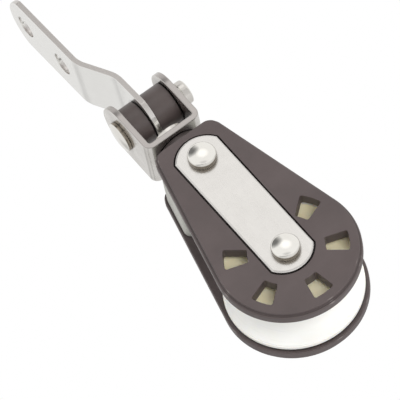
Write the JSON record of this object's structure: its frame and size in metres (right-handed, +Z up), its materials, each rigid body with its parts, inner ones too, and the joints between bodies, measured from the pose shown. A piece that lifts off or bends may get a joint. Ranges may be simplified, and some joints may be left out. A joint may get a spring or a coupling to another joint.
{
  "type": "sheave block",
  "caption": "Rope block: grooved sheave between windowed teardrop cheeks with side straps, hung from a swivelling clevis and a stepped bolt-on tang.",
  "frame": {"origin": "centre of the sheave", "axes": "+Y is the sheave's spin axis with the front cheek facing -Y, +Z runs up through the swivel and clevis to the tang, +X is to the right"},
  "size_m": [0.05, 0.0376, 0.1743],
  "materials": {
    "steel_tang": "polished stainless",
    "steel_clevis": "polished stainless",
    "steel_strap": "fine brushed stainless",
    "steel_pin": "polished stainless",
    "steel_tube": "ground stainless",
    "dark_nylon": "fine moulded texture",
    "spacer_nylon": "smooth turned",
    "grey_insert": "fine moulded texture",
    "white_acetal": "smooth"
  },
  "bodies": {
    "tang": {"tang": "steel_tang"},
    "clevis": {"clevis": "steel_clevis", "clevis_pin": "steel_pin", "pin_collar": "steel_pin", "swivel_post": "steel_pin", "swivel_retainer": "steel_tube"},
    "left_spacer": {"left_spacer": "spacer_nylon"},
    "right_spacer": {"right_spacer": "spacer_nylon"},
    "block": {"head_insert": "grey_insert", "swivel_washer": "spacer_nylon", "front_cheek": "dark_nylon", "rear_cheek": "dark_nylon", "front_strap": "steel_strap", "rear_strap": "steel_strap", "upper_rivet": "steel_pin", "axle_rivet": "steel_pin", "axle_tube": "steel_tube"},
    "sheave": {"sheave": "white_acetal"}
  },
  "joints": [
    {"name": "clevis_pivot", "type": "hinge", "parent": "tang", "child": "clevis", "pos_m": [0, 0, 0.0793], "axis": [1, 0, 0], "range_deg": [-67, 53]},
    {"name": "clevis_swivel", "type": "hinge", "parent": "clevis", "child": "block", "pos_m": [0, 0, 0.0625], "axis": [0, 0, 1], "continuous": true},
    {"name": "sheave_spin", "type": "hinge", "parent": "block", "child": "sheave", "pos_m": [0, 0, 0], "axis": [0, 1, 0], "continuous": true},
    {"name": "left_spacer_turn", "type": "hinge", "parent": "clevis", "child": "left_spacer", "pos_m": [-0.005, 0, 0.0793], "axis": [1, 0, 0], "continuous": true},
    {"name": "right_spacer_turn", "type": "hinge", "parent": "clevis", "child": "right_spacer", "pos_m": [0.005, 0, 0.0793], "axis": [1, 0, 0], "continuous": true}
  ]
}
